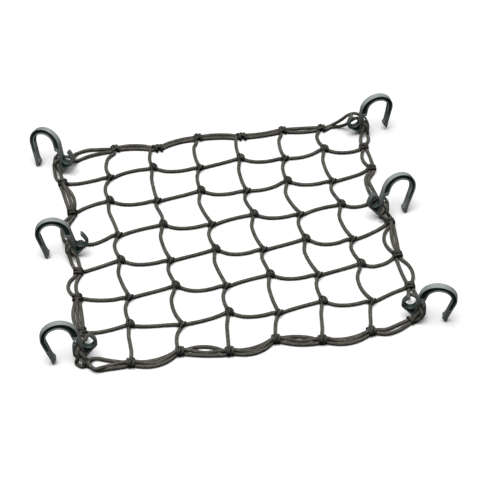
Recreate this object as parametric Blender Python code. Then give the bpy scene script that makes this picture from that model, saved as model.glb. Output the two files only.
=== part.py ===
"""Elastic cargo net with six moulded hooks, laid out flat on a surface.

Round elastic cords cross in a seven by seven mesh and are knotted where they meet. Two border cords
run side by side round the mesh, and hold six plastic hooks that stand on their edge: one at each corner
and one half way down each side. The cords pull each other tight in every knot, so they are one solid.
Each hook is a solid of its own, and the border cords thread through the two slots of its foot.

Sizes are in millimetres and are turned into metres where a mesh is made. X runs to the right, Y away
from the front edge and Z up. The net lies on Z = 0, and the middle of the whole thing is at X = Y = 0.
"""
import math

import bmesh
import bpy
from mathutils import Matrix, Vector

MM = 0.001
MIDDLE = (-9.75, 3.15)    # the middle of the whole thing, as the places in the tables below count

# --- the mesh -------------------------------------------------------------------------------------
CELLS = 7                 # openings each way
PITCH_ACROSS = 54.2       # from one column of knots to the next
PITCH_DOWN = 50.5         # from one row of knots to the next
NET_TURN = 9.3            # degrees that the rows are turned from X
MESH_SHIFT = (-5.2, 7.5)  # middle of the inner knots, seen along the rows
CHECKER = (0.5, -4.9)     # every other knot is drawn this way, the ones between the other way

ROW_SLIP = (0.5, -2.8, 0.2, -0.1, 1.8, -0.3)     # how far each row of knots has slipped sideways
COLUMN_SLIP = (-1.4, -0.1, 1.4, 0.7, -0.1, -1.2)  # and each column

# --- the cord -------------------------------------------------------------------------------------
CORD_R = 2.05
CORD_SIDES = 6
CORD_Z = 3.0              # height of a cord's middle where it leaves a knot
CORD_SAG = 0.8            # how far it comes down between two knots
CORD_SPANS = 4            # straight pieces between two knots

# --- the knots ------------------------------------------------------------------------------------
KNOT_REACH = 4.6          # from a knot's middle to where a cord leaves it
KNOT_TOP = 7.0
KNOT_FOOT = 1.9           # half width of the flat that a knot lies on
STRAND_GAP = 4.7          # between the middles of the two border cords
STRAND_SPREAD = 12.0      # degrees that each border cord turns off at a knot
THIRD_SPREAD = 4.0        # the same at a knot that a third cord leaves
THIRD_RISE = 30.0         # degrees that the third cord leaves upward
THIRD_Z = 7.4             # height of a third border cord where it leaves a knot, on top of the two
THIRD_BUMP = 2.7          # how much higher a knot with a third cord is

# --- the hook, seen on its broad face: U towards its tip, V up its shank -----------------------------
HOOK_THICK = 6.0
BEND_CENTRE = (15.9, 37.6)
BEND_OUTER_R = 20.6
EYE_CENTRE = (17.2, 37.9)
EYE_R = 13.7
SEAT_HALF = 2.6           # half width of the flat at the crown of the eye, where a bar sits
BEND_STEPS = 14
SLOT_CENTRE = (-9.6, 17.6)
SLOT_R = 5.3
POCKET_CENTRE = (3.4, 10.4)
POCKET_R = 2.7
RECESS_DEPTH = 1.6
FLANGE = 1.5              # width of the rims that stand round a recess

# Which way a cord leaves an inner knot. A high knot is drawn away from the front edge and a low one
# towards it. Each row: port, where it leaves (x, y) and its heading (x, y).
HIGH_PORTS = (
    ("right", (4.6, -1.7), (1.0, -0.55)),
    ("left", (-5.0, -1.6), (-1.0, -0.50)),
    ("up", (-0.9, 4.8), (-0.30, 1.0)),
    ("down", (-0.9, -5.2), (-0.02, -1.0)),
)
LOW_PORTS = (
    ("right", (4.6, 0.5), (1.0, 0.42)),
    ("left", (-5.2, 0.0), (-1.0, -0.30)),
    ("up", (-1.3, 4.8), (-0.26, 1.0)),
    ("down", (-1.5, -4.9), (-0.22, -1.0)),
)

# Knots on the border, seen along the rows. The sides follow each other clockwise from the top left hook.
# Each row: the side, the row or column that ends there, its place (x, y), the heading of its mesh cord
# in degrees from X, and how far the outer and the inner border cord bow out on the way to the next knot.
# A third number there is a third cord between the two knots, where a mesh cord's end is tucked along.
BORDER = (
    ("top", 1, -129.0, 181.0, 237, 4.0, 2.6),
    ("top", 2, -77.0, 174.5, 244, 3.4, 3.2),
    ("top", 3, -23.5, 185.5, 252, 0.5, 0.4),
    ("top", 4, 30.0, 179.5, 255, 0.2, 0.0),
    ("top", 5, 84.5, 182.0, 252, 0.0, -3.0),
    ("top", 6, 134.0, 178.0, 255, 0.0, 0.0),
    ("right", 1, 179.5, 133.5, 200, 2.0, -3.8),
    ("right", 2, 180.0, 93.5, 211, 0.0, 0.0),
    ("right", 4, 180.0, -3.5, 214, 1.4, -7.2, -1.2),
    ("right", 5, 176.0, -58.5, 215, 6.0, -1.0),
    ("right", 6, 178.5, -108.0, 202, 0.0, 0.0),
    ("bottom", 6, 119.5, -168.5, 97, 7.2, 2.6, 4.9),
    ("bottom", 5, 63.5, -172.0, 85, 4.0, -3.4, 1.4),
    ("bottom", 4, 13.5, -163.0, 90, 10.8, 4.4, 7.6),
    ("bottom", 3, -39.5, -172.0, 98, 3.2, -6.8, 0.8),
    ("bottom", 2, -93.0, -163.5, 96, 10.6, 4.2, 7.4),
    ("bottom", 1, -147.5, -171.0, 94, 0.0, 0.0),
    ("left", 6, -196.5, -117.5, 8, 4.0, -0.6, 1.7),
    ("left", 5, -197.0, -66.5, -10, 7.6, 4.4),
    ("left", 4, -192.5, -25.0, 20, 0.0, 0.0),
    ("left", 2, -191.5, 73.5, 27, 0.0, -8.6, -6.4),
    ("left", 1, -198.5, 127.0, 5, 0.0, 0.0),
)

# The two side hooks take the ends of the mesh's third row. Those two knots hold the inner border cord
# only, behind the hook. Each row: the side, the row that ends there, its place (x, y), the headings of
# the border cord, of the cord to the hook and of the mesh cord, and the places where the border cord
# passes on its way from the border's second knot.
HALF_WAY = (
    ("left", 3, (-188.2, 21.5), (128, 262, 6), ((-194.5, 56.0), (-197.0, 43.0), (-194.0, 30.5))),
    ("right", 3, (168.6, 40.5), (108, 296, 216), ((169.6, 78.0), (168.0, 63.0), (168.6, 51.0))),
)

# The hooks. Each row: name, which way the tip points (-1 left, 1 right), the foot's place (x, y, z) in
# the world, and the hook's turn about Z, its lean from upright and its tilt off the net, in degrees.
HOOKS = (
    ("hook_left_back", -1, (-217.6, 118.0, 4.0), (-23.7, -10.0, 15.7)),
    ("hook_left_middle", -1, (-188.6, -27.5, 4.4), (2.6, -5.0, 15.8)),
    ("hook_left_front", -1, (-166.7, -184.8, 6.4), (9.5, -6.0, 17.2)),
    ("hook_right_back", 1, (150.1, 192.2, 3.0), (16.4, 1.0, 8.1)),
    ("hook_right_middle", 1, (163.3, 36.9, 6.6), (19.2, -9.0, 20.0)),
    ("hook_right_front", 1, (193.7, -121.7, 4.4), (-8.0, 2.0, 15.1)),
)

# The border cords between a hook and its two neighbouring knots. Each row: hook, border cord; where it
# lies on the surface before the hook, as (x, y) from the hook's foot; where it rises behind the shank,
# in the hook's own U, V and W, with W from the hook's front face to its back; and where it lies on the
# surface after the hook.
LEADS = (
    ("hook_left_back", "outer", ((42.4, 37.4), (27.5, 36.1), (14.5, 29.5)),
     ((-8.1, 14.2, 9.2), (-2.2, 15.6, 6.9), (1.4, 15.9, 6.2)), ((-8.6, -12.5),)),
    ("hook_left_back", "inner", ((42.9, 29.8), (28.3, 24.0), (16.0, 16.5)),
     ((-7.3, 8.6, 8.6), (-2.2, 10.4, 6.9), (1.4, 10.7, 6.2)), ((-1.6, -13.0),)),
    ("hook_left_middle", "outer", ((-20.0, 53.1), (-21.6, 39.5), (-19.0, 26.2)),
     ((12.5, 10.5, 15.0), (8.0, 13.5, 9.5), (4.6, 15.4, 6.1)), ((-4.6, -17.0),)),
    ("hook_left_middle", "inner", (), ((1.2, 4.5, 12.5), (1.5, 9.6, 7.5)), ((2.8, -15.5),)),
    ("hook_left_front", "outer", (),
     ((-3.0, 19.5, 13.0), (0.3, 18.4, 8.2), (2.6, 16.9, 6.2)),
     ((-6.4, -9.5), (0.8, -15.5), (11.7, -17.6), (26.6, -15.6))),
    ("hook_left_front", "inner", (),
     ((-8.0, 13.5, 13.0), (-2.4, 12.8, 7.6), (1.3, 11.0, 6.3)),
     ((3.0, -6.2), (8.2, -1.2), (17.0, -0.2), (28.5, -3.4))),
    ("hook_right_back", "outer", ((-35.0, 16.5),),
     ((-22.5, 12.5, 14.0), (-16.9, 22.7, 9.6), (-8.0, 25.0, 8.5), (-0.8, 22.2, 7.2), (2.2, 18.4, 6.3)),
     ((11.0, -6.0), (11.2, -16.0))),
    ("hook_right_back", "inner", ((-35.4, 9.3), (-24.0, 10.6)),
     ((-13.8, 5.6, 10.0), (-7.6, 9.4, 8.2), (-1.8, 13.2, 7.0), (1.5, 11.6, 6.3)),
     ((1.6, -14.0),)),
    ("hook_right_middle", "outer", ((-1.0, 64.0), (2.6, 49.7), (5.4, 37.2)),
     ((2.6, 14.5, 14.5), (2.2, 15.8, 8.0)), ((15.0, -3.5),)),
    ("hook_right_middle", "inner", (), ((1.2, 4.5, 12.5), (1.5, 9.6, 7.5)), ((9.3, -5.5),)),
    ("hook_right_front", "outer", ((7.0, 29.2),),
     ((-1.6, 14.6, 14.0), (0.8, 16.8, 8.2), (2.4, 16.4, 6.3)),
     ((4.6, -9.6), (-4.6, -15.6), (-15.8, -21.8), (-31.0, -28.0))),
    ("hook_right_front", "inner", ((-2.6, 28.5),),
     ((-8.4, 11.1, 13.0), (-2.8, 12.4, 8.0), (1.3, 11.0, 6.3)),
     ((-4.6, -8.4), (-17.0, -14.6), (-31.0, -20.6))),
)

# The hook that follows a border knot, clockwise.
HOOK_AFTER = {
    ("top", 6): "hook_right_back",
    ("right", 2): "hook_right_middle",
    ("right", 6): "hook_right_front",
    ("bottom", 1): "hook_left_front",
    ("left", 4): "hook_left_middle",
    ("left", 1): "hook_left_back",
}
HOOK_ROWS = {row[0]: row for row in HOOKS}

# How both border cords come through the outer slot and down in front of the foot.
THREADS = {
    "outer": ((3.4, 15.7, 2.9), (3.4, 15.7, -0.6), (3.5, 15.7, -4.2), (6.2, 13.4, -7.2), (7.2, 8.0, -8.3)),
    "inner": ((3.4, 10.7, 3.0), (3.4, 10.7, -0.6), (3.3, 10.5, -4.2), (1.2, 6.6, -7.2), (-0.2, 2.2, -8.6)),
}


# ---------------------------------------------------------------------------------------------------
# Plain helpers

def clear_scene():
    """Remove whatever the file holds, so that the run starts from nothing."""
    for thing in list(bpy.data.objects):
        bpy.data.objects.remove(thing, do_unlink=True)


def material(name, colour, roughness):
    """A Principled material with one colour and one roughness."""
    made = bpy.data.materials.new(name)
    made.use_nodes = True
    shader = made.node_tree.nodes["Principled BSDF"]
    shader.inputs["Base Color"].default_value = (*colour, 1.0)
    shader.inputs["Roughness"].default_value = roughness
    shader.inputs["Metallic"].default_value = 0.0
    return made


def finished_object(name, shape, look):
    """Turn a bmesh in millimetres into a named object in metres."""
    bmesh.ops.recalc_face_normals(shape, faces=shape.faces)
    bmesh.ops.scale(shape, vec=(MM, MM, MM), verts=shape.verts)
    mesh = bpy.data.meshes.new(name)
    shape.to_mesh(mesh)
    shape.free()
    mesh.materials.append(look)
    mesh.shade_smooth()
    mesh.set_sharp_from_angle(angle=math.radians(40))
    made = bpy.data.objects.new(name, mesh)
    bpy.context.scene.collection.objects.link(made)
    return made


def from_net(x, y):
    """A place seen along the net's rows, as world X and Y."""
    turn = math.radians(NET_TURN)
    across = x * math.cos(turn) - y * math.sin(turn)
    away = x * math.sin(turn) + y * math.cos(turn)
    return Vector((across - MIDDLE[0], away - MIDDLE[1]))


# ---------------------------------------------------------------------------------------------------
# Cords: rings of vertices, and the tubes between two rings

def ring_points(centre, heading, first_side):
    """The corners of a cord's section at a place, seen along its heading."""
    side = (first_side - heading * first_side.dot(heading)).normalized()
    other = heading.cross(side)
    corners = []
    for step in range(CORD_SIDES):
        angle = 2 * math.pi * step / CORD_SIDES
        corners.append(centre + (side * math.cos(angle) + other * math.sin(angle)) * CORD_R)
    return corners


class Port:
    """Where a cord leaves a knot: the middle of its section, its vertices, and the way the cord goes."""

    def __init__(self, net, place, heading, aim=None):
        self.place = Vector(place)
        self.heading = Vector(heading).normalized()
        self.aim = Vector(aim).normalized() if aim else self.heading
        side = Vector((0, 0, 1)).cross(self.heading).normalized()
        self.verts = [net.verts.new(corner) for corner in ring_points(self.place, self.heading, side)]


def hermite(start, start_pull, end, end_pull, t):
    """A smooth curve from one place to another that leaves and arrives along the two pulls."""
    a = 2 * t ** 3 - 3 * t ** 2 + 1
    b = t ** 3 - 2 * t ** 2 + t
    c = -2 * t ** 3 + 3 * t ** 2
    d = t ** 3 - t ** 2
    return start * a + start_pull * b + end * c + end_pull * d


def cord_between(net, port_a, port_b, middles):
    """Skin a cord from one port to another, through the given middles."""
    places = [port_a.place, *middles, port_b.place]
    side = port_a.verts[0].co - port_a.place
    loops = [port_a.verts]
    for step in range(1, len(places) - 1):
        heading = (places[step + 1] - places[step - 1]).normalized()
        side = (side - heading * side.dot(heading)).normalized()
        loops.append([net.verts.new(corner) for corner in ring_points(places[step], heading, side)])
    loops.append(matching_loop(loops[-1], port_b.verts))
    for near, far in zip(loops, loops[1:]):
        for k in range(CORD_SIDES):
            n = (k + 1) % CORD_SIDES
            net.faces.new((near[k], near[n], far[n], far[k]))


def matching_loop(near, far):
    """The far ring's vertices turned and put in the order that twists the last stretch least."""
    best = None
    for way in (1, -1):
        for shift in range(CORD_SIDES):
            tried = [far[(shift + way * k) % CORD_SIDES] for k in range(CORD_SIDES)]
            length = sum((a.co - b.co).length_squared for a, b in zip(near, tried))
            if best is None or length < best[0]:
                best = (length, tried)
    return best[1]


def mesh_run(net, port_a, port_b):
    """A mesh cord that lies slack between two knots, a little lower in its middle."""
    chord = (port_b.place - port_a.place).length
    middles = []
    for step in range(1, CORD_SPANS):
        t = step / CORD_SPANS
        place = hermite(port_a.place, port_a.aim * chord, port_b.place, port_b.aim * -chord, t)
        place.z -= CORD_SAG * math.sin(math.pi * t)
        middles.append(place)
    cord_between(net, port_a, port_b, middles)


def border_run(net, port_a, port_b, bow):
    """A border cord between two knots, bowed away from the net or towards it."""
    chord = port_b.place - port_a.place
    out = Vector((-chord.y, chord.x, 0)).normalized()
    middles = []
    for step in range(1, CORD_SPANS):
        t = step / CORD_SPANS
        place = port_a.place + chord * t + out * (4 * bow * t * (1 - t))
        raised = port_a.place.z - CORD_Z
        place.z -= CORD_SAG * math.sin(math.pi * t) + raised * math.sin(math.pi * t) ** 2
        middles.append(place)
    cord_between(net, port_a, port_b, middles)


def close_knot(net, ports, bumps):
    """Wrap a tight skin round a knot's ports and bumps, and leave the ports open for their cords."""
    corners = [vert for port in ports for vert in port.verts]
    corners += [net.verts.new(bump) for bump in bumps]
    wrapped = bmesh.ops.convex_hull(net, input=corners)
    inside = [item for item in wrapped["geom_interior"] if isinstance(item, bmesh.types.BMVert)]
    port_sets = [set(port.verts) for port in ports]
    lids = []
    for face in {face for corner in corners for face in corner.link_faces}:
        if any(set(face.verts) <= port_set for port_set in port_sets):
            lids.append(face)
    bmesh.ops.delete(net, geom=lids, context="FACES_ONLY")
    loose = [edge for corner in corners if corner.is_valid for edge in corner.link_edges if edge.is_wire]
    bmesh.ops.delete(net, geom=list(set(loose)), context="EDGES")
    bmesh.ops.delete(net, geom=[vert for vert in inside if vert.is_valid], context="VERTS")


# ---------------------------------------------------------------------------------------------------
# The mesh and its knots

def is_high(row, column):
    """Every other knot is a high one."""
    return (row + column) % 2 == 1


def inner_knot_place(row, column):
    """The middle of an inner knot in the world: rows and columns count from 1 at the back left."""
    middle = CELLS / 2
    way = -1 if is_high(row, column) else 1
    x = MESH_SHIFT[0] + PITCH_ACROSS * (column - middle) + CHECKER[0] * way
    x += ROW_SLIP[row - 1] + COLUMN_SLIP[column - 1]
    y = MESH_SHIFT[1] + PITCH_DOWN * (middle - row) + CHECKER[1] * way
    return from_net(x, y)


def inner_knot(net, row, column):
    """One knot of the mesh: four ports, a flat foot and an oblique crest where one cord wraps the other."""
    middle = inner_knot_place(row, column)
    high = is_high(row, column)
    ports = {}
    for name, (x, y), (heading_x, heading_y) in (HIGH_PORTS if high else LOW_PORTS):
        ports[name] = Port(net, (middle.x + x, middle.y + y, CORD_Z), (heading_x, heading_y, 0))
    lean = 1 if high else -1
    crest = [(-1.6, -2.2 * lean, KNOT_TOP - 0.5), (1.2, 0.6 * lean, KNOT_TOP), (2.7, 3.0 * lean, KNOT_TOP - 1.2)]
    foot = [(side_x * KNOT_FOOT, side_y * KNOT_FOOT, 0.0) for side_x in (-1, 1) for side_y in (-1, 1)]
    bumps = [(middle.x + x, middle.y + y, z) for x, y, z in crest + foot]
    close_knot(net, list(ports.values()), bumps)
    return ports


def flat_heading(degrees):
    """A level heading at an angle from X."""
    return Vector((math.cos(math.radians(degrees)), math.sin(math.radians(degrees)), 0))


def border_knot(net, place, along, mesh_turn, thirds):
    """One knot on the border: it holds both border cords and the end of one mesh cord.

    Thirds names the ends, next or last, at which a third border cord leaves on top of the other two."""
    along = Vector((along.x, along.y, 0)).normalized()
    out = Vector((-along.y, along.x, 0))
    middle = Vector((place.x, place.y, CORD_Z))
    ports = {}
    for end, way in (("next", 1), ("last", -1)):
        spread = math.radians(THIRD_SPREAD if end in thirds else STRAND_SPREAD)
        reach = way * (KNOT_REACH - 0.4)
        for strand, side in (("outer", 1), ("inner", -1)):
            leaves = middle + along * reach + out * (side * STRAND_GAP / 2)
            heading = along * (way * math.cos(spread)) + out * (side * math.sin(spread))
            ports[end, strand] = Port(net, leaves, heading)
        if end in thirds:
            rise = math.radians(THIRD_RISE)
            back = way * (CORD_R * math.sin(rise) + 0.05)
            leaves = middle + along * (reach - back) + Vector((0, 0, THIRD_Z - CORD_Z))
            heading = along * (way * math.cos(rise)) + Vector((0, 0, math.sin(rise)))
            ports[end, "third"] = Port(net, leaves, heading)
    top = KNOT_TOP + (THIRD_BUMP if thirds else 0)
    ports["mesh"] = Port(net, middle - out * (KNOT_REACH + 0.3), -out, flat_heading(mesh_turn))
    crest = [(-2.0, -2.6, KNOT_TOP - 0.6), (0.6, 0.0, top), (2.0, 2.6, KNOT_TOP - 0.6)]
    foot = [(side_x * KNOT_FOOT, side_y * KNOT_FOOT, 0.0) for side_x in (-1, 1) for side_y in (-1, 1)]
    bumps = []
    for t, n, z in crest + foot:
        spot = middle + along * t + out * n
        bumps.append((spot.x, spot.y, z))
    close_knot(net, list(ports.values()), bumps)
    return ports


def half_way_knot(net, place, headings):
    """A knot that ties a mesh cord to the inner border cord alone, behind a side hook."""
    middle = Vector((place.x, place.y, CORD_Z))
    ports = {}
    for name, degrees in zip(("border", "hook", "mesh"), headings):
        heading = flat_heading(degrees)
        ports[name] = Port(net, middle + heading * KNOT_REACH, heading)
    crest = [(-1.8, -1.8, KNOT_TOP - 0.5), (0.4, 0.4, KNOT_TOP), (1.8, 2.0, KNOT_TOP - 0.6)]
    foot = [(side_x * KNOT_FOOT, side_y * KNOT_FOOT, 0.0) for side_x in (-1, 1) for side_y in (-1, 1)]
    bumps = [(middle.x + x, middle.y + y, z) for x, y, z in crest + foot]
    close_knot(net, list(ports.values()), bumps)
    return ports


# ---------------------------------------------------------------------------------------------------
# The hooks

def hook_foot(row):
    """Where a hook's foot stands."""
    x, y, z = row[2]
    return Vector((x - MIDDLE[0], y - MIDDLE[1], z))


def hook_frame(row):
    """The matrix that stands a hook on its foot, from (across, back, up) in its own frame."""
    _, way, _, (turn, lean, tilt) = row
    spin = Matrix.Rotation(math.radians(turn), 4, "Z")
    tip_back = Matrix.Rotation(math.radians(lean), 4, "X")
    roll = Matrix.Rotation(math.radians(tilt * way), 4, "Y")
    return Matrix.Translation(hook_foot(row)) @ spin @ tip_back @ roll


def arc(centre, radius, first, last, steps):
    """Points on a circle from one angle to another, both included, in degrees."""
    points = []
    for step in range(steps + 1):
        angle = math.radians(first + (last - first) * step / steps)
        points.append((centre[0] + radius * math.cos(angle), centre[1] + radius * math.sin(angle)))
    return points


def seat_arc():
    """The inside of the bend, with a short flat at its crown."""
    turn = math.degrees(math.asin(SEAT_HALF / EYE_R))
    half = BEND_STEPS // 2 - 1
    return arc(EYE_CENTRE, EYE_R, 0, 90 - turn, half) + arc(EYE_CENTRE, EYE_R, 90 + turn, 180, half)


def hook_outline():
    """The broad face's edge, in U and V, from the net side of the bend over its crown and round."""
    bend = arc(BEND_CENTRE, BEND_OUTER_R, 180, 0, BEND_STEPS)
    tip = [(34.9, 14.5), (36.2, 9.2), (35.7, 7.0), (34.7, 6.6), (31.4, 10.0), (27.9, 14.7), (29.2, 18.8)]
    rim_end = [(3.9, 31.0), (3.9, 28.7), (3.0, 27.8), (0.5, 27.7), (0.5, 19.0), (0.8, 15.4)]
    pocket = arc(POCKET_CENTRE, POCKET_R, 180, 360, 6)
    short_prong = [(6.2, 16.4), (4.4, 19.4), (3.4, 21.6), (4.2, 22.4), (6.3, 22.0), (9.3, 16.6), (12.0, 9.2),
                   (12.0, 6.0), (10.9, 3.9)]
    sole = [(4.0, -0.6), (2.2, -1.0), (-4.0, 2.5), (-11.0, 7.0), (-15.4, 9.3), (-17.6, 11.2), (-18.6, 14.0)]
    long_prong = [(-18.7, 19.0), (-18.1, 24.0), (-16.9, 28.4), (-16.2, 29.6), (-15.4, 29.4), (-14.8, 26.5),
                  (-14.9, 22.0)]
    slot = arc(SLOT_CENTRE, SLOT_R, 180, 360, 8)
    shank = [(-4.3, 24.0), (-4.7, 31.0)]
    return bend + tip + seat_arc() + rim_end + pocket + short_prong + sole + long_prong + slot + shank


def bend_recess():
    """The sunk panel that runs from the shank round the bend and down to the tip."""
    outer = arc(BEND_CENTRE, BEND_OUTER_R - FLANGE, 180, 0, BEND_STEPS)
    inner = arc(EYE_CENTRE, EYE_R + FLANGE, 0, 180, BEND_STEPS)
    return outer + [(33.5, 19.0), (31.0, 20.5)] + inner + [(2.2, 30.4), (-3.0, 30.4)]


def foot_recess():
    """The sunk panel between the long slot and the sole."""
    round_slot = arc(SLOT_CENTRE, SLOT_R + FLANGE, -20, -150, 5)
    return [(-2.6, 12.0)] + round_slot + [(-16.0, 12.2), (-10.2, 8.4), (-4.0, 4.6), (-1.2, 3.4), (-1.2, 9.5)]


def loop_of(shape, points, depth, way):
    """A closed loop of vertices and edges at one depth through the hook."""
    verts = [shape.verts.new((u * way, depth, v)) for u, v in points]
    return verts, [shape.edges.new((verts[k - 1], verts[k])) for k in range(len(verts))]


def wall(shape, near, far):
    """The band of faces between two loops."""
    for k in range(len(near)):
        shape.faces.new((near[k - 1], near[k], far[k], far[k - 1]))


def hook_mesh(way):
    """A hook in its own frame, its tip to the left or to the right: a plate sunk between its rims."""
    shape = bmesh.new()
    half = HOOK_THICK / 2
    rims = []
    for depth, floor in ((-half, RECESS_DEPTH - half), (half, half - RECESS_DEPTH)):
        edge_verts, edge_edges = loop_of(shape, hook_outline(), depth, way)
        rims.append(edge_verts)
        face_edges = list(edge_edges)
        for recess in (bend_recess(), foot_recess()):
            rim_verts, rim_edges = loop_of(shape, recess, depth, way)
            floor_verts, floor_edges = loop_of(shape, recess, floor, way)
            wall(shape, rim_verts, floor_verts)
            bmesh.ops.triangle_fill(shape, edges=floor_edges, use_beauty=True)
            face_edges += rim_edges
        bmesh.ops.triangle_fill(shape, edges=face_edges, use_beauty=True)
    wall(shape, rims[0], rims[1])
    return shape


def make_hook(row, look):
    """One hook, standing on its foot beside the border."""
    made = finished_object(row[0], hook_mesh(row[1]), look)
    frame = hook_frame(row)
    frame.translation = frame.translation * MM
    made.matrix_world = frame
    return made


# ---------------------------------------------------------------------------------------------------
# The border cords

def hook_run(net, row, port_in, port_out, strand):
    """A border cord that comes to a hook from behind, threads its outer slot and leaves in front."""
    name, way = row[:2]
    foot = hook_foot(row)
    frame = hook_frame(row)
    _, _, before, rise, after = next(line for line in LEADS if line[:2] == (name, strand))
    middles = [Vector((foot[0] + x, foot[1] + y, CORD_Z)) for x, y in before]
    middles += [frame @ Vector((u * way, w, v)) for u, v, w in rise + THREADS[strand]]
    middles += [Vector((foot[0] + x, foot[1] + y, CORD_Z)) for x, y in after]
    cord_between(net, port_in, port_out, middles)


def border_knots(net):
    """The knots of the border, each turned along the line from its last neighbour to its next one."""
    stops = []
    for side, number, x, y, *_ in BORDER:
        stops.append(((side, number), from_net(x, y)))
        if (side, number) in HOOK_AFTER:
            foot = hook_foot(HOOK_ROWS[HOOK_AFTER[side, number]])
            stops.append((None, foot.xy))
    turns = {(row[0], row[1]): row[4] for row in BORDER}
    thirds = {(row[0], row[1]): [] for row in BORDER}
    for k, row in enumerate(BORDER):
        if len(row) > 7:
            thirds[row[:2]].append("next")
            thirds[BORDER[(k + 1) % len(BORDER)][:2]].append("last")
    knots = {}
    for k, (name, place) in enumerate(stops):
        if name:
            along = stops[(k + 1) % len(stops)][1] - stops[k - 1][1]
            knots[name] = border_knot(net, place, along, turns[name], thirds[name])
    for side, number, (x, y), headings, _ in HALF_WAY:
        knots[side, number] = half_way_knot(net, from_net(x, y), headings)
    return knots


def mesh_cords(net, inner, edge):
    """The six cords each way, as runs from knot to knot."""
    for number in range(1, CELLS):
        for step in range(CELLS):
            start = inner[number, step]["right"] if step else edge["left", number]["mesh"]
            end = inner[number, step + 1]["left"] if step < CELLS - 1 else edge["right", number]["mesh"]
            mesh_run(net, start, end)
            start = inner[step, number]["down"] if step else edge["top", number]["mesh"]
            end = inner[step + 1, number]["up"] if step < CELLS - 1 else edge["bottom", number]["mesh"]
            mesh_run(net, start, end)


def border_cords(net, edge):
    """Both border cords all the way round, through the hooks."""
    for k, (side, number, _, _, _, *bows) in enumerate(BORDER):
        next_side, next_number = BORDER[(k + 1) % len(BORDER)][:2]
        for strand, bow in zip(("outer", "inner", "third"), bows):
            start = edge[side, number]["next", strand]
            end = edge[next_side, next_number]["last", strand]
            name = HOOK_AFTER.get((side, number))
            if name is None:
                border_run(net, start, end, bow)
                continue
            row = HOOK_ROWS[name]
            # A hook's cords are listed from behind it to its front, and the left side runs to the back.
            if name.startswith("hook_left"):
                start, end = end, start
            for half_side, _, _, _, route in HALF_WAY:
                if strand == "inner" and name == "hook_" + half_side + "_middle":
                    knot = edge[half_side, 3]
                    places = [from_net(x, y) for x, y in route]
                    cord_between(net, start, knot["border"], [Vector((p.x, p.y, CORD_Z)) for p in places])
                    start = knot["hook"]
            hook_run(net, row, start, end, strand)


def make_net(look):
    """All the cords and their knots, as one solid."""
    net = bmesh.new()
    inner = {}
    for row in range(1, CELLS):
        for column in range(1, CELLS):
            inner[row, column] = inner_knot(net, row, column)
    edge = border_knots(net)
    mesh_cords(net, inner, edge)
    border_cords(net, edge)
    return finished_object("cord_net", net, look)


def main():
    clear_scene()
    cord = material("braided_cord", (0.075, 0.07, 0.062), 0.75)
    plastic = material("hook_plastic", (0.02, 0.028, 0.026), 0.35)
    make_net(cord)
    for row in HOOKS:
        make_hook(row, plastic)


main()
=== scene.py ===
# %% [markdown]
# # Elastic cargo net with six hooks
#
# The real thing is a flat net of round, braided elastic cord, 4 mm thick, with six moulded plastic
# hooks round its edge. This lesson dresses the plain solids of the part: every cord becomes a smooth
# tube that really turns round its neighbour in each knot, and every hook gets rounded edges.
# Lengths are in millimetres in the tables below and turn into metres where a mesh is made.

# %% Load the solids and keep the size of their box
import math

import bmesh
import bpy
import numpy as np
from mathutils import Matrix, Vector


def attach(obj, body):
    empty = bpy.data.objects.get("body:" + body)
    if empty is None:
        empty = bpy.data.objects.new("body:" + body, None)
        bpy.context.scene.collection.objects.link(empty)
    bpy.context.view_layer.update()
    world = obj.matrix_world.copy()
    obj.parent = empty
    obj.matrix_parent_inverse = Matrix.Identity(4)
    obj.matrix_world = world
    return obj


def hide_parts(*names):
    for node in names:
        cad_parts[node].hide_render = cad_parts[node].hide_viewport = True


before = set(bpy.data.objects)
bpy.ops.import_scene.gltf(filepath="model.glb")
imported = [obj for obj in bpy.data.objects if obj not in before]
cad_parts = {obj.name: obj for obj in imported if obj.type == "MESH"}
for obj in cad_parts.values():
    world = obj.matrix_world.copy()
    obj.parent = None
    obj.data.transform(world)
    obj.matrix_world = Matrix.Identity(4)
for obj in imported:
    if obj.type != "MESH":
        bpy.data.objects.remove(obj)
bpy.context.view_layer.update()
MM = 0.001
print("solids:", ", ".join(sorted(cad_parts)))

# %% [markdown]
# ## Camera
#
# A long lens from well above the front edge shows the whole net with little perspective, as in a
# picture for a catalogue.

# %% The camera
CAMERA_AT = (0.00975, -1.21015, 1.20700)
CAMERA_TO = (0.00975, -0.00315, 0.0)
FOCAL_LENGTH = 108.75
SENSOR_WIDTH = 36.0       # in the same millimetres as the focal length
SEES_TO = 20.0


def put(name, data):
    """Put a camera, a lamp or a mesh into the scene."""
    made = bpy.data.objects.new(name, data)
    bpy.context.scene.collection.objects.link(made)
    return made


def aim(made, at, target):
    """Stand a camera or a lamp at one place and turn it towards another."""
    made.location = at
    made.rotation_euler = (Vector(target) - Vector(at)).to_track_quat("-Z", "Y").to_euler()


def add_camera():
    """The camera, aimed at the middle of the net."""
    lens = bpy.data.cameras.new("camera")
    lens.lens = FOCAL_LENGTH
    lens.sensor_width = SENSOR_WIDTH
    lens.clip_end = SEES_TO
    made = put("camera", lens)
    aim(made, CAMERA_AT, CAMERA_TO)
    bpy.context.scene.camera = made
    return made


print("camera:", [round(v, 3) for v in add_camera().location])

# %% [markdown]
# ## A small language for shader nodes
#
# Shader nodes are wired by hand in most scripts, which hides the idea behind them. Here a `Wire` wraps
# one output socket, and Python's own `+`, `-` and `*` add the Math nodes, so a pattern reads as the
# formula it is. Everything else goes through one method that takes a node's type, its settings and
# what its sockets get, and the nodes that come up often have a short method each.


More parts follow.
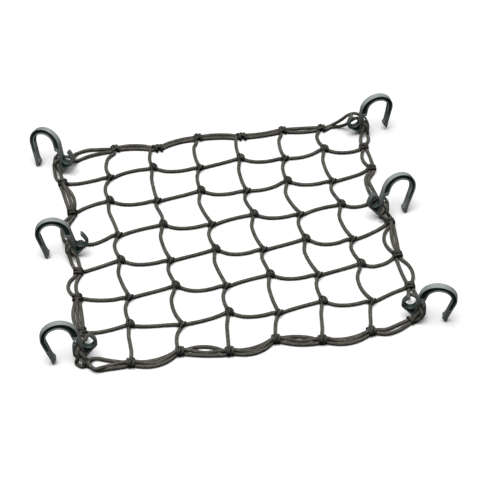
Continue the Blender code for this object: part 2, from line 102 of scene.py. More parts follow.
# %% Wires
class Wire:
    """One output socket of a material, with Python arithmetic."""

    def __init__(self, finish, socket):
        self.finish = finish
        self.socket = socket

    def maths(self, operation, *values):
        """A Math node with this wire first, or in the order given."""
        return self.finish.node("ShaderNodeMath", {"operation": operation}, dict(enumerate(values)))

    def __add__(self, other):
        return self.maths("ADD", self, other)

    __radd__ = __add__

    def __sub__(self, other):
        return self.maths("SUBTRACT", self, other)

    def __rsub__(self, other):
        return self.maths("SUBTRACT", other, self)

    def __mul__(self, other):
        return self.maths("MULTIPLY", self, other)

    __rmul__ = __mul__

    def fraction(self):
        """What is left after the last whole number."""
        return self.maths("FRACT", self)

    def whole(self):
        """The last whole number."""
        return self.maths("FLOOR", self)

    def parity(self):
        """0 for even whole numbers and 1 for odd ones."""
        return self.maths("FLOORED_MODULO", self, 2.0)

    def arch(self):
        """A round hump over each unit: 0 at its ends and 1 in its middle."""
        from_middle = self.fraction() * 2.0 - 1.0
        return 1.0 - from_middle * from_middle


print("a wire can give:", ", ".join(name for name in vars(Wire) if not name.startswith("_")))


# %% Node trees and finishes
class Wiring:
    """The node tree of a material or a world, wired up through one method."""

    def __init__(self, owner):
        owner.use_nodes = True
        self.owner = owner
        self.tree = owner.node_tree

    def node(self, kind, settings=None, inputs=None, output=0):
        """Add a node: its settings first, then the values or wires of its sockets."""
        made = self.tree.nodes.new(kind)
        for key, value in (settings or {}).items():
            if key == "stops":
                set_stops(made.color_ramp, value)
            else:
                setattr(made, key, value)
        for key, value in (inputs or {}).items():
            self.feed(made.inputs[key], value)
        return Wire(self, made.outputs[output])

    def feed(self, socket, value):
        """Give a socket a wire or a plain value."""
        if isinstance(value, Wire):
            self.tree.links.new(value.socket, socket)
        else:
            socket.default_value = value

    def blend(self, share, first, second):
        """A colour from the first to the second as share goes from 0 to 1."""
        return self.node("ShaderNodeMix", {"data_type": "RGBA"}, {0: share, 6: first, 7: second}, output=2)

    def bumps(self, height, strength, distance):
        """A Bump node for a height, in metres at full strength."""
        return self.node("ShaderNodeBump", {}, {"Height": height, "Strength": strength, "Distance": distance})

    def part(self, vector, which):
        """The X, Y or Z of a vector, where which is 0, 1 or 2."""
        return self.node("ShaderNodeSeparateXYZ", {}, {0: vector}, output=which)

    def map_part(self, name, which):
        """The U (0) or the V (1) of a map that the mesh carries."""
        return self.part(self.node("ShaderNodeUVMap", {"uv_map": name}), which)

    def between(self, value, none, full):
        """0 where a value is at none, 1 where it is at full, and evenly in between."""
        return self.node("ShaderNodeMapRange", {}, {0: value, 1: none, 2: full})

    def clouds(self, scale, detail, **more):
        """Noise: how many clouds there are to a metre, and how finely they break up."""
        spot = self.node("ShaderNodeTexCoord", output=3)
        return self.node("ShaderNodeTexNoise", {}, {"Vector": spot, "Scale": scale, "Detail": detail, **more})


class Finish(Wiring):
    """A material with one Principled shader."""

    def __init__(self, name):
        super().__init__(bpy.data.materials.new(name))
        self.shader = self.tree.nodes["Principled BSDF"]

    def surface(self, **sockets):
        """Feed the shader's own sockets, named with underscores for spaces."""
        for name, value in sockets.items():
            self.feed(self.shader.inputs[name.replace("_", " ")], value)


def set_stops(ramp, stops):
    """Fill a colour ramp from (place, value) pairs."""
    while len(ramp.elements) < len(stops):
        ramp.elements.new(0.5)
    for element, (place, value) in zip(ramp.elements, stops):
        element.position = place
        element.color = (value, value, value, 1.0)


print("a node tree can add:", ", ".join(name for name in vars(Wiring) if not name.startswith("_")))

# %% [markdown]
# ## Light
#
# One wide lamp high above lights the net, a little from the front and the left, and so does a room
# that is bright overhead and dim at table height. Black cord on a white table needs this: light from
# all sides would wash the cords out to one flat grey, while light from above leaves their flanks dark
# and their tops lit. For the same reason the table throws no light back onto the cords. So much light
# falls on it that a mid-grey table shows as white, with only faint shadows.

# %% A room that is bright overhead, and one wide lamp above
ROOM_STOPS = ((0.50, 0.00), (0.62, 0.04), (0.80, 0.42), (1.0, 1.0))
ROOM_STRENGTH = 1.25
BACKDROP = (1.0, 1.0, 1.0, 1.0)
LAMP_POWER = 245.0
LAMP_SIZE = 2.3
LAMP_AT = (-0.33, -0.42, 3.00)
LAMP_TO = (0.0, 0.0, 0.0)
TONE_CURVE = "Standard"


def add_room():
    """Light that comes mostly from overhead, with a white backdrop for the camera alone."""
    room = Wiring(bpy.data.worlds.new("pale_room"))
    bpy.context.scene.world = room.owner
    upward = room.part(room.node("ShaderNodeTexCoord"), 2)
    tone = room.node("ShaderNodeValToRGB", {"stops": ROOM_STOPS}, {0: upward * 0.5 + 0.5})
    light = room.node("ShaderNodeBackground", {}, {0: tone, 1: ROOM_STRENGTH})
    backdrop = room.node("ShaderNodeBackground", {}, {0: BACKDROP, 1: 1.0})
    seen = room.node("ShaderNodeLightPath")
    both = room.node("ShaderNodeMixShader", {}, {0: seen, 1: light, 2: backdrop})
    room.feed(room.tree.nodes["World Output"].inputs["Surface"], both)


def add_lamp():
    """A lamp several times as wide as the net, high above it."""
    lamp = bpy.data.lights.new("soft_lamp", "AREA")
    lamp.energy = LAMP_POWER
    lamp.size = LAMP_SIZE
    aim(put("soft_lamp", lamp), LAMP_AT, LAMP_TO)


add_room()
add_lamp()
bpy.context.scene.view_settings.view_transform = TONE_CURVE
print("lamp:", LAMP_POWER, "W, room", ROOM_STRENGTH)

# %% [markdown]
# ## The braided cover
#
# Elastic cord is a bundle of rubber threads in a woven polyester sleeve. Sixteen yarns run round it,
# half of them leaning left and half leaning right, each over one and under the next. The cords carry a
# map with turns round the cord in one direction and metres along it in the other, so both families of
# yarn are straight stripes in that map. The yarns differ a little in tone, their tops are rubbed
# lighter, and shade is painted into the grooves between them. A second map says how far each side of a
# cord is turned upward and whether it is in a knot, and shade is painted from it: the flanks are painted
# darker than the tops, and darker still where turns are squeezed together in a knot.

# %% Braided cord
YARNS_EACH_WAY = 8
YARNS_PER_METRE = 385.0
YARN_HEIGHT = 0.00022
OVER_EDGE = 0.55          # how much of its height a yarn keeps at the edges of the one it crosses
# painted shade: the colour deep in the grooves between yarns, where a yarn's height is 0
CORD_GROOVE_SHADE = (0.0022, 0.0019, 0.0014, 1.0)
# painted shade: the colour that a cord's flanks are painted towards, most of all inside knots
CORD_PAINTED_SHADE = (0.0012, 0.0010, 0.0008, 1.0)
CORD_TONE = (0.0285, 0.0268, 0.0217, 1.0)
CORD_RUBBED = (0.0980, 0.0925, 0.0760, 1.0)
TONE_RISE = 1.15          # how soon the tone is full on the way up a yarn
RUBBED_TOPS, RUBBED_YARNS, RUBBED_CLOUDS = 0.55, 0.30, 0.40    # what rubs the cord paler, with its share
RUBBED_FROM, RUBBED_FULL = 0.57, 1.12
# painted shade on a cord's side: none where the side is turned up as far as the first number, full where it
# is turned up no further than the second
UNSHADED_SIDE, FULLY_SHADED_SIDE = 0.96, 0.64    # how far up a side is turned, from 1 on top to 0 underneath
TIGHT_TURN = 0.09         # a side in a knot darkens as if it were turned down this much further
LOOSE_SHADE, TIGHT_SHADE = 0.30, 0.66    # how much a side darkens, and how much more in a knot
CORD_ROUGH, RUBBED_ROUGH = 0.74, 0.52


def braided_cord():
    """Olive black polyester sleeve, matt with a slight sheen, with shade painted on its flanks and in the
    grooves between its yarns.
    """
    finish = Finish("braided_cord")
    turns = finish.map_part("cord", 0) * YARNS_EACH_WAY
    along = finish.map_part("cord", 1) * YARNS_PER_METRE
    left_yarns, right_yarns = turns + along, turns - along
    left_hump, right_hump = left_yarns.arch(), right_yarns.arch()
    left_on_top = (left_yarns.whole() + right_yarns.whole()).parity()
    left_height = left_hump * (right_hump * (1.0 - OVER_EDGE) + OVER_EDGE)
    right_height = right_hump * (left_hump * (1.0 - OVER_EDGE) + OVER_EDGE)
    height = right_height + (left_height - right_height) * left_on_top
    number = finish.node("ShaderNodeCombineXYZ", {}, {0: left_yarns.whole(), 1: right_yarns.whole()})
    chance = finish.node("ShaderNodeTexWhiteNoise", {"noise_dimensions": "3D"}, {"Vector": number})
    rubbing = height * RUBBED_TOPS + chance * RUBBED_YARNS + finish.clouds(90.0, 3.0) * RUBBED_CLOUDS
    rubbed = finish.between(rubbing, RUBBED_FROM, RUBBED_FULL)
    # painted shade from the second map: sides turned downward, and more so inside knots, blend towards the
    # painted shade colour
    upward, tight = finish.map_part("lie", 0), finish.map_part("lie", 1)
    side = finish.between(upward - tight * TIGHT_TURN, UNSHADED_SIDE, FULLY_SHADED_SIDE)
    shade = side * (tight * TIGHT_SHADE + LOOSE_SHADE)
    # the grooves between yarns are painted with shade, and the yarns' tops have their full tone
    yarn = finish.blend(height * TONE_RISE, CORD_GROOVE_SHADE, CORD_TONE)
    finish.surface(
        Base_Color=finish.blend(shade, finish.blend(rubbed, yarn, CORD_RUBBED), CORD_PAINTED_SHADE),
        Roughness=CORD_ROUGH - rubbed * (CORD_ROUGH - RUBBED_ROUGH),
        Normal=finish.bumps(height, 0.9, YARN_HEIGHT),
        Sheen_Weight=0.04,
        Sheen_Roughness=0.45,
        Specular_IOR_Level=0.10,
    )
    return finish.owner


cord_finish = braided_cord()
print("finish:", cord_finish.name)

# %% [markdown]
# ## The hooks' plastic and the table
#
# The hooks are injection moulded in a green black plastic with a satin skin. Such a skin is finely
# pitted by the mould, a little blotchy where it cooled unevenly, and rubbed paler where it has been
# handled. Noise at three sizes gives all three, with the pits as bumps only. The hook's mesh carries a
# map as well, for painted light and shade: the plastic is painted paler the higher it stands and on the
# tip, as if lit from above, but not on the long prong among the cords, and the sunk panels and the slot
# are painted dark with shade. The table is plain.

# %% Moulded plastic
PLASTIC_DARK = (0.0300, 0.0370, 0.0345, 1.0)
# the palest skin, where painted light adds to handling and blotches
PLASTIC_PALE = (0.1620, 0.1800, 0.1740, 1.0)
# painted shade for the sunk panels and the slot
PLASTIC_PAINTED_SHADE = (0.0110, 0.0200, 0.0170, 1.0)
PIT_DEPTH = 0.00006
RUB_SHARE = 0.6           # of the rubs among what is handled; the blotches have the rest
HANDLED_FROM, HANDLED_FULL = 0.48, 0.68
# the first share is painted light high on the hook; handling and blotches are the skin's own wear and tone
PALE_PAINTED_LIGHT, PALE_HANDLED, PALE_BLOTCHES = 0.52, 0.30, 0.15    # what makes it paler, with its share


def moulded_plastic():
    """Satin green black plastic with a pitted skin, and light and shade painted from the hook's map."""
    finish = Finish("moulded_plastic")
    pits = finish.clouds(2600.0, 2.0)
    blotches = finish.clouds(120.0, 4.0, Distortion=0.6)
    rubs = finish.clouds(420.0, 5.0, Roughness=0.7)
    handling = rubs * RUB_SHARE + blotches * (1.0 - RUB_SHARE)
    handled = finish.between(handling, HANDLED_FROM, HANDLED_FULL)
    # the map's V is painted light: paler the higher on the hook, and on the tip
    high = finish.map_part("wear", 1)
    pale = high * PALE_PAINTED_LIGHT + handled * PALE_HANDLED + blotches * PALE_BLOTCHES
    skin = finish.blend(pale, PLASTIC_DARK, PLASTIC_PALE)
    finish.surface(
        # the map's U paints shade on the sunk panels and the slot
        Base_Color=finish.blend(finish.map_part("wear", 0), skin, PLASTIC_PAINTED_SHADE),
        Roughness=0.34 + blotches * 0.12 + handled * 0.10,
        Normal=finish.bumps(pits * 0.6 + rubs * 0.5, 0.5, PIT_DEPTH),
        Specular_IOR_Level=0.30,
    )
    return finish.owner


hook_finish = moulded_plastic()
print("finish:", hook_finish.name)

# %% The table
TABLE_HALF = 12.0         # in metres
TABLE_TONE = (0.400, 0.400, 0.400, 1.0)


def white_table():
    """A plain matt surface that the lamp and the room light up to white."""
    finish = Finish("white_table")
    finish.surface(Base_Color=TABLE_TONE, Roughness=0.9, Specular_IOR_Level=0.0)
    return finish.owner


def add_table():
    """One big square under the net, which neither lights the cords nor shows in the plastic."""
    shape = bmesh.new()
    bmesh.ops.create_grid(shape, x_segments=1, y_segments=1, size=TABLE_HALF)
    mesh = bpy.data.meshes.new("table")
    shape.to_mesh(mesh)
    shape.free()
    mesh.materials.append(white_table())
    made = put("table", mesh)
    made.visible_diffuse = False
    made.visible_glossy = False
    return made


print("table:", add_table().name)

# %% [markdown]
# ## Where everything lies
#
# The net isn't a perfect grid: every other knot is drawn away from the front edge and the ones between
# towards it, which gives the openings their leaning shapes, and each border knot sits where the cord
# was pulled tight. The plain solids were made from nearly the same tables, so each cord of the lesson
# lies where its solid lies, or a few millimetres from it.

# %% Places of the mesh
MIDDLE = (-9.75, 3.15)    # the middle of the whole thing, as the places in the tables below count
CELLS = 7                 # openings each way
PITCH_ACROSS = 54.2       # from column to column
PITCH_DOWN = 50.5         # from row to row
NET_TURN = 9.3            # how far the whole net lies turned, in degrees
MESH_SHIFT = (-5.2, 7.5)
CHECKER = (0.5, -4.9)     # from the grid to a low knot; a high one lies as far the other way
ROW_SLIP = (0.5, -2.8, 0.2, -0.1, 1.8, -0.3)        # each row's knots to the right
COLUMN_SLIP = (-1.4, -0.1, 1.4, 0.7, -0.1, -1.2)    # each column's knots to the right
ROW_DROP = (0.0, 0.0, 0.4, 1.0, 0.8, 0.4)           # each row's knots towards the front edge


def from_net(x, y):
    """A place seen along the net's rows, as world X and Y."""
    turn = math.radians(NET_TURN)
    across = x * math.cos(turn) - y * math.sin(turn)
    away = x * math.sin(turn) + y * math.cos(turn)
    return Vector((across - MIDDLE[0], away - MIDDLE[1], 0.0))


def is_high(row, column):
    """Every other knot is a high one, which is drawn away from the front edge."""
    return (row + column) % 2 == 1


def knot_place(row, column):
    """The middle of an inner knot: rows and columns count from 1 at the back left."""
    way = -1 if is_high(row, column) else 1
    x = MESH_SHIFT[0] + PITCH_ACROSS * (column - CELLS / 2) + CHECKER[0] * way
    y = MESH_SHIFT[1] + PITCH_DOWN * (CELLS / 2 - row) + CHECKER[1] * way - ROW_DROP[row - 1]
    return from_net(x + ROW_SLIP[row - 1] + COLUMN_SLIP[column - 1], y)


print("inner knots:", (CELLS - 1) ** 2, "from", [round(v) for v in knot_place(1, 1).xy])

# %% Places of the border
# Each row: the side, the row or column that ends there, its place (x, y), the heading of its mesh cord
# in degrees from X, how far along the border that cord meets the knot, and how far the outer, the inner
# and perhaps a third border cord bow out on the way to the next knot, clockwise.
BORDER = (
    ("top", 1, -129.0, 181.0, 240, -3.6, 4.4, 2.6),
    ("top", 2, -77.0, 174.5, 260, -8.4, 3.4, 3.2),
    ("top", 3, -23.5, 185.5, 252, -3.8, 3.2, 1.8),
    ("top", 4, 30.0, 179.5, 266, -6.4, -1.4, -1.4),
    ("top", 5, 84.5, 182.0, 252, -3.6, 1.0, -2.0),
    ("top", 6, 134.0, 178.0, 264, -5.0, 0.0, 0.0),
    ("right", 1, 179.5, 133.5, 200, 2.8, 0.8, -4.6),
    ("right", 2, 180.0, 93.5, 211, 2.8, 0.0, 0.0),
    ("right", 4, 180.0, -3.5, 214, 2.0, 0.6, -9.4, -2.0),
    ("right", 5, 176.0, -58.5, 213, 3.6, 7.2, -0.8),
    ("right", 6, 178.5, -108.0, 202, 2.0, 0.0, 0.0),
    ("bottom", 6, 119.5, -168.5, 97, -1.6, 6.4, 4.0, 5.4),
    ("bottom", 5, 63.5, -172.0, 85, -0.5, 3.0, -4.0, 0.4),
    ("bottom", 4, 13.5, -163.0, 90, 0.0, 7.0, 3.8, 6.0),
    ("bottom", 3, -39.5, -172.0, 98, 0.0, 1.4, -6.6, -0.4),
    ("bottom", 2, -93.0, -163.5, 96, 1.2, 7.2, 3.8, 5.8),
    ("bottom", 1, -147.5, -171.0, 94, 0.0, 0.0, 0.0),
    ("left", 6, -196.5, -117.5, 4, -1.6, 4.4, -0.4, 2.0),
    ("left", 5, -197.0, -66.5, -6, 0.0, 8.6, 4.4),
    ("left", 4, -192.5, -25.0, 20, 1.0, 0.0, 0.0),
    ("left", 2, -191.5, 73.5, 25, 2.2, 0.0, -5.4, -2.8),
    ("left", 1, -198.5, 127.0, 3, -1.0, 0.0, 0.0),
)

print("knots on the pair of border cords:", len(BORDER))

# %% Places of the hooks
# Hooks: name, which way the tip points, the foot's place (x, y, z), and turn, lean and tilt in degrees.
HOOKS = (
    ("hook_left_back", -1, (-216.9, 117.0, 4.0), (-23.7, -10.0, 15.7)),
    ("hook_left_middle", -1, (-188.8, -26.6, 4.4), (2.6, -5.0, 15.8)),
    ("hook_left_front", -1, (-167.0, -182.9, 6.4), (9.5, -6.0, 17.2)),
    ("hook_right_back", 1, (150.6, 191.2, 3.0), (16.4, 1.0, 8.1)),
    ("hook_right_middle", 1, (163.3, 36.9, 6.6), (19.2, -9.0, 20.0)),
    ("hook_right_front", 1, (193.1, -121.7, 4.4), (-8.0, 2.0, 15.1)),
)
HOOK_ROWS = {row[0]: row for row in HOOKS}


def hook_foot(row):
    """Where a hook's foot stands."""
    x, y, z = row[2]
    return Vector((x - MIDDLE[0], y - MIDDLE[1], z))


def hook_frame(row):
    """The matrix that stands a hook on its foot, from (across, back, up) in its own frame."""
    _, way, _, (turn, lean, tilt) = row
    spin = Matrix.Rotation(math.radians(turn), 4, "Z")
    tip_back = Matrix.Rotation(math.radians(lean), 4, "X")
    roll = Matrix.Rotation(math.radians(tilt * way), 4, "Y")
    return Matrix.Translation(hook_foot(row)) @ spin @ tip_back @ roll


print("hooks:", ", ".join(HOOK_ROWS))

# %% [markdown]
# ## From a few places to a smooth cord
#
# A cord is stiff enough to bend in one smooth curve through every place it is led past, which a
# Catmull-Rom curve does. Each place also says how thick the cord is there, because a stretchy cord is
# thinner inside a tight knot. A ring of corners is carried along the curve without twisting and skinned,
# and the braid's map and the map for its painted shade are written at the same time.

# %% Smooth routes
CORD_R = 2.05
RUN_STEP = 2.6            # from ring to ring on a slack run
KNOT_STEP = 1.15          # and inside a knot
KNOT_SQUEEZE = 0.97       # below this a place counts as inside a knot


def lay(place):
    """A place of a route where the cord has its full thickness, the last of its four numbers."""
    return (*place, 1.0)


def knot_time(a, b):
    """How long a centripetal curve takes from one place to the next."""
    return max(float(np.linalg.norm(b[:3] - a[:3])) ** 0.5, 1e-3)


def passing(t, start_time, start, end_time, end):
    """Where an even move from one place to another has come to at a time."""
    whole = end_time - start_time
    return (end_time - t) / whole * start + (t - start_time) / whole * end


def curve_piece(before, start, end, after, steps):
    """Points of a centripetal Catmull-Rom curve from start up to, not including, end."""
    t0 = 0.0
    t1 = t0 + knot_time(before, start)
    t2 = t1 + knot_time(start, end)
    t3 = t2 + knot_time(end, after)
    t = (t1 + (t2 - t1) * np.arange(steps) / steps)[:, None]
    inner = passing(t, t1, start, t2, end)
    first = passing(t, t0, passing(t, t0, before, t1, start), t2, inner)
    last = passing(t, t1, inner, t3, passing(t, t2, end, t3, after))
    return passing(t, t1, first, t2, last)


def smooth_route(places, closed=False):
    """A dense curve through the places of a route, closer together inside knots."""
    given = [np.array(place, float) for place in places]
    count = len(given)
    out = []
    for k in range(count if closed else count - 1):
        start, end = given[k], given[(k + 1) % count]
        before = given[k - 1] if k or closed else 2 * start - end
        after = given[(k + 2) % count] if closed or k + 2 < count else 2 * end - start
        knotted = min(start[3], end[3]) < KNOT_SQUEEZE
        length = float(np.linalg.norm(end[:3] - start[:3]))
        steps = max(1, math.ceil(length / (KNOT_STEP if knotted else RUN_STEP)))
        out.append(curve_piece(before, start, end, after, steps))
    if not closed:
        out.append(given[-1][None])
    return np.concatenate(out)


def length_of(route):
    """The length of a dense curve."""
    return float(np.linalg.norm(np.diff(route[:, :3], axis=0), axis=1).sum())


print("a ring each", RUN_STEP, "mm, and each", KNOT_STEP, "mm inside a knot")


# %% A direction that is carried along without twisting
def carried_frames(headings, closed):
    """A direction square to each heading, carried along without twisting."""
    side = np.cross(headings[0], (0.0, 0.0, 1.0))
    if np.linalg.norm(side) < 0.1:
        side = np.cross(headings[0], (1.0, 0.0, 0.0))
    sides = []
    for heading in headings:
        side = side - heading * np.dot(side, heading)
        side /= np.linalg.norm(side)
        sides.append(side)
    if closed:
        back = sides[-1] - headings[0] * np.dot(sides[-1], headings[0])
        back /= np.linalg.norm(back)
        turn = math.atan2(np.dot(np.cross(back, sides[0]), headings[0]), np.dot(back, sides[0]))
        for k, heading in enumerate(headings):
            part = turn * k / len(headings)
            sides[k] = sides[k] * math.cos(part) + np.cross(heading, sides[k]) * math.sin(part)
    return sides


print("first side of a cord along X:", carried_frames(np.array([[1.0, 0.0, 0.0]]), False)[0])

# %% Skin for routes
CORD_SIDES = 14
CAP_TURNS = (35, 65)      # the rings that round off a cut end, in degrees
CAP_LENGTH = 0.7          # of the cord's radius
CAP_TIP = 0.72
CAP_STEP = 0.0008         # how far one ring of a cut end takes the map along, in metres


class CordSkin:
    """Gathers tubes and turns them into one piece with its two maps."""

    def __init__(self):
        self.corners = []
        self.faces = []
        self.map = []
        self.lie = []
        self.metres = 0.0

    def ring(self, place, side, other, radius):
        """One ring of corners; returns the number of its first."""
        first = len(self.corners)
        for k in range(CORD_SIDES):
            angle = 2 * math.pi * k / CORD_SIDES
            way = side * math.cos(angle) + other * math.sin(angle)
            self.corners.append(tuple((place + way * radius) * MM))
            # how far this corner faces up and whether it is in a knot, from which shade is painted on the
            # cord
            self.lie.append((0.5 + 0.5 * way[2], float(radius < CORD_R * KNOT_SQUEEZE)))
        return first

    def band(self, near, far, start, end):
        """The faces between two rings, with their place on the yarn map."""
        for k in range(CORD_SIDES):
            n = (k + 1) % CORD_SIDES
            self.faces.append((near + k, near + n, far + n, far + k))
            left, right = k / CORD_SIDES, (k + 1) / CORD_SIDES
            self.map += [left, start, right, start, right, end, left, end]

    def add(self, route, closed=False):
        """Skin one dense route."""
        places = route[:, :3]
        ahead = np.roll(places, -1, 0) if closed else np.vstack((places[1:], places[-1:]))
        behind = np.roll(places, 1, 0) if closed else np.vstack((places[:1], places[:-1]))
        headings = ahead - behind
        headings /= np.linalg.norm(headings, axis=1)[:, None]
        frames = carried_frames(headings, closed)
        rings = [self.ring(place, side, np.cross(heading, side), CORD_R * thick)
                 for place, heading, side, thick in zip(places, headings, frames, route[:, 3])]
        at = self.metres
        for k in range(len(rings) if closed else len(rings) - 1):
            n = (k + 1) % len(rings)
            to = at + float(np.linalg.norm(places[n] - places[k])) * MM
            self.band(rings[k], rings[n], at, to)
            at = to
        self.metres = at
        if not closed:
            self.cap(rings[0], places[0], -headings[0], frames[0], route[0, 3], True)
            self.cap(rings[-1], places[-1], headings[-1], frames[-1], route[-1, 3], False)

    def cap(self, ring, place, heading, side, thick, is_start):
        """Round off a cut end, as where the sleeve was melted."""
        turn = -1 if is_start else 1
        other = np.cross(heading, side) * turn
        last = ring
        for degrees in CAP_TURNS:
            lift = CORD_R * thick * CAP_LENGTH * math.sin(math.radians(degrees))
            wide = CORD_R * thick * math.cos(math.radians(degrees))
            new = self.ring(place + heading * lift, side, other, wide)
            pair = (new, last) if is_start else (last, new)
            self.band(*pair, self.metres, self.metres + CAP_STEP)
            last = new
        tip = len(self.corners)
        self.corners.append(tuple((place + heading * CORD_R * thick * CAP_TIP) * MM))
        # the tip of a cut end gets the painted shade of a flank inside a knot
        self.lie.append((0.5, 1.0))
        for k in range(CORD_SIDES):
            n = (k + 1) % CORD_SIDES
            self.faces.append((last + n, last + k, tip) if is_start else (last + k, last + n, tip))
            self.map += [0.0, self.metres, 0.1, self.metres, 0.05, self.metres + CAP_STEP]

    def piece(self, name):
        """The finished piece: it rides with the net, whose plain solid it stands for."""
        mesh = bpy.data.meshes.new(name)
        mesh.from_pydata(self.corners, [], self.faces)
        mesh.uv_layers.new(name="cord").data.foreach_set("uv", self.map)
        # the second map, which the cord's finish reads to paint shade on flanks and in knots
        lie = [value for face in self.faces for corner in face for value in self.lie[corner]]
        mesh.uv_layers.new(name="lie").data.foreach_set("uv", lie)
        mesh.materials.append(cord_finish)
        mesh.shade_smooth()
        made = put(name, mesh)
        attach(made, "root")
        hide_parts("cord_net")
        print(name, "-", len(self.faces), "faces,", round(self.metres, 2), "m of cord")
        return made


print("a cord has", CORD_SIDES, "sides, and", len(CAP_TURNS), "rings round off each end")

# %% [markdown]
# ## Rows and columns, and the knots they make
#
# Where a column crosses a row, it turns round the row twice and leaves on the other side, so from above
# a knot shows three short bands side by side, with the row going in at one end and out at the other.
# The route of one such knot is a short table of places; a low knot is the same table seen in a mirror
# and walked backwards.

# %% Places in a knot of the mesh
# Which way a cord leaves an inner knot: port, where it leaves (x, y) and its heading (x, y).
HIGH_PORTS = {
    "right": ((4.6, -1.3), (1.0, -0.55)),
    "left": ((-5.0, -1.0), (-1.0, -0.42)),
    "up": ((-0.9, 4.8), (-0.30, 1.0)),
    "down": ((-1.9, -5.2), (-0.06, -1.0)),
}
LOW_PORTS = {
    "right": ((4.6, 1.1), (1.0, 0.46)),
    "left": ((-5.2, 0.8), (-1.0, -0.32)),
    "up": ((-1.3, 4.8), (-0.26, 1.0)),
    "down": ((-1.5, -4.9), (-0.22, -1.0)),
}
HIGH_TIGHT = 0.95         # how far a high knot's places are drawn in towards its middle
LOW_TIGHT = 0.85          # and a low one's
CORD_Z = 3.0              # height of a cord's middle where it leaves a knot
# Places from the knot's middle (x, y, z) and how thick the cord is there.
ROW_THROUGH = ((-3.2, -0.6, 3.9, 0.95), (0.0, -0.2, 4.5, 0.82), (3.0, -0.6, 4.0, 0.95))
COLUMN_ROUND = (
    (-1.0, 6.4, 3.6, 1.0), (0.6, 4.8, 5.4, 0.84), (2.7, 2.7, 7.1, 0.72),
    (4.7, -0.2, 7.0, 0.71), (5.1, -3.2, 4.5, 0.71), (3.9, -2.4, 2.0, 0.71),
    (2.4, 0.6, 1.7, 0.71), (1.2, 3.5, 3.4, 0.71), (0.9, 2.2, 6.5, 0.71),
    (1.2, -0.8, 7.5, 0.71), (1.4, -3.6, 5.2, 0.71), (0.4, -2.8, 2.2, 0.71),
    (-1.2, 0.4, 1.7, 0.71), (-2.8, 3.2, 3.4, 0.71), (-3.0, 1.6, 6.3, 0.71),
    (-2.3, -1.3, 7.0, 0.71), (-1.5, -4.0, 5.2, 0.86), (-0.9, -5.9, 3.6, 1.0),
)
print("a knot of the mesh takes", round(length_of(smooth_route(COLUMN_ROUND))), "mm of the column's cord")


# %% Both cords through a knot of the mesh
def shifted(table, row, column):
    """A table of places, moved from the knot's middle into the world and drawn tight."""
    middle = knot_place(row, column)
    tight = HIGH_TIGHT if is_high(row, column) else LOW_TIGHT
    return [(middle.x + x * tight, middle.y + y * tight, z, thick) for x, y, z, thick in table]


def port(row, column, name):
    """Where a cord leaves an inner knot and its heading."""
    (x, y), (heading_x, heading_y) = (HIGH_PORTS if is_high(row, column) else LOW_PORTS)[name]
    middle = knot_place(row, column)
    return Vector((middle.x + x, middle.y + y, CORD_Z)), Vector((heading_x, heading_y, 0)).normalized()


def row_in_knot(row, column):
    """The row's cord from the left of a knot to its right."""
    return [lay(port(row, column, "left")[0]), *shifted(ROW_THROUGH, row, column),
            lay(port(row, column, "right")[0])]


def column_in_knot(row, column):
    """The column's cord from the back of a knot to its front, twice round the row's."""
    table = COLUMN_ROUND
    if not is_high(row, column):
        table = [(x, -y, z, thick) for x, y, z, thick in reversed(COLUMN_ROUND)]
    return shifted(table, row, column)


print("a row passes", len(row_in_knot(1, 1)), "places in a knot, and a column", len(column_in_knot(1, 1)))

# %% A run between two knots
CORD_SAG = 0.8            # how far it comes down between two knots
CORD_SPANS = 4            # how many parts a run is worked out in


def hermite(start, start_pull, end, end_pull, t):
    """A smooth curve from one place to another that leaves and arrives along the two pulls."""
    a = 2 * t ** 3 - 3 * t ** 2 + 1
    b = t ** 3 - 2 * t ** 2 + t
    c = -2 * t ** 3 + 3 * t ** 2
    d = t ** 3 - t ** 2
    return start * a + start_pull * b + end * c + end_pull * d


def hung(line, aside, bow, drop=0.0):
    """The places of a cord along a line between two knots, bowed aside and hanging down midway."""
    places = []
    for step in range(1, CORD_SPANS):
        t = step / CORD_SPANS
        place = line(t) + aside * (4 * bow * t * (1 - t))
        place.z -= CORD_SAG * math.sin(math.pi * t) + drop * math.sin(math.pi * t) ** 2
        places.append(lay(place))
    return places


def slack_run(start, end, bow):
    """The places of a mesh cord that lies slack between two ports, bowed a little more or less."""
    chord = end[0] - start[0]
    pull = chord.length
    aside = chord.cross(Vector((0, 0, -1))).normalized()
    return hung(lambda t: hermite(start[0], start[1] * pull, end[0], end[1] * -pull, t), aside, bow)


run = slack_run(port(1, 1, "right"), port(1, 2, "left"), 0.0)
print("midway between two knots a cord is", round(run[len(run) // 2][2], 1), "mm up")

# %% [markdown]
# ## The border
#
# Two cords run side by side all the way round. Each row and column ends on them: its cord goes over the
# pair and round behind it three times, so a knot shows three bands, and its end is tucked in under them.
# In some places a third cord lies along the border from one knot to the next, held under their bands:
# an end that was left long. Beside two of the hooks an end is lashed round both cords.

